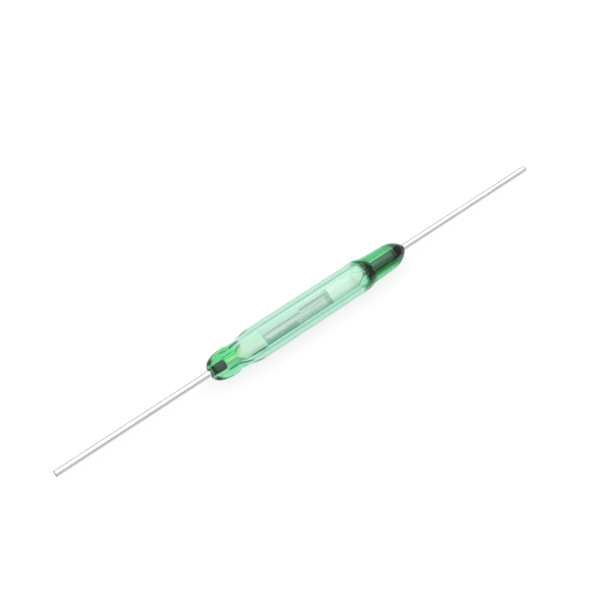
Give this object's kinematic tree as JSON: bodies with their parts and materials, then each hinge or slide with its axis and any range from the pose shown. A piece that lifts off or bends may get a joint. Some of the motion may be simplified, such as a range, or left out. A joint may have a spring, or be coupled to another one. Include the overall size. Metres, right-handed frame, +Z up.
{
  "type": "reed switch",
  "caption": "Miniature normally-open reed switch: a pale green glass capsule with a wire lead out of each end and overlapping plated blades inside.",
  "frame": {"origin": "on the capsule's axis, halfway along the glass and the leads", "axes": "+X along the leads from the blunt glass end to the bullet-shaped one, +Z up as it lies on a bench"},
  "size_m": [0.0354, 0.002, 0.002],
  "materials": {
    "green_glass": "clear pale green fire-polished glass, dark green where it is solid",
    "tinned_wire": "bright satin tinned nickel-iron wire with fine drawing lines",
    "reed_metal": "pale matt annealed nickel-iron",
    "contact_plating": "glossy grey plated metal"
  },
  "bodies": {
    "capsule": {"glass_envelope": "green_glass", "left_lead": "tinned_wire", "right_lead": "tinned_wire"},
    "left_reed": {"left_blade": "reed_metal", "left_contact_plating": "contact_plating"},
    "right_reed": {"right_blade": "reed_metal", "right_contact_plating": "contact_plating"}
  },
  "joints": [
    {"name": "left_reed_flex", "type": "hinge", "parent": "capsule", "child": "left_reed", "pos_m": [-0.00485, -0.00005, 0.0001], "axis": [0, 0.9063, 0.4226], "range_deg": [0, 0.599], "stiffness_Nm_per_rad": 0.0115},
    {"name": "right_reed_flex", "type": "hinge", "parent": "capsule", "child": "right_reed", "pos_m": [0.00315, 0.00005, -0.0001], "axis": [0, 0.9063, 0.4226], "range_deg": [0, 0.549], "stiffness_Nm_per_rad": 0.0107}
  ]
}
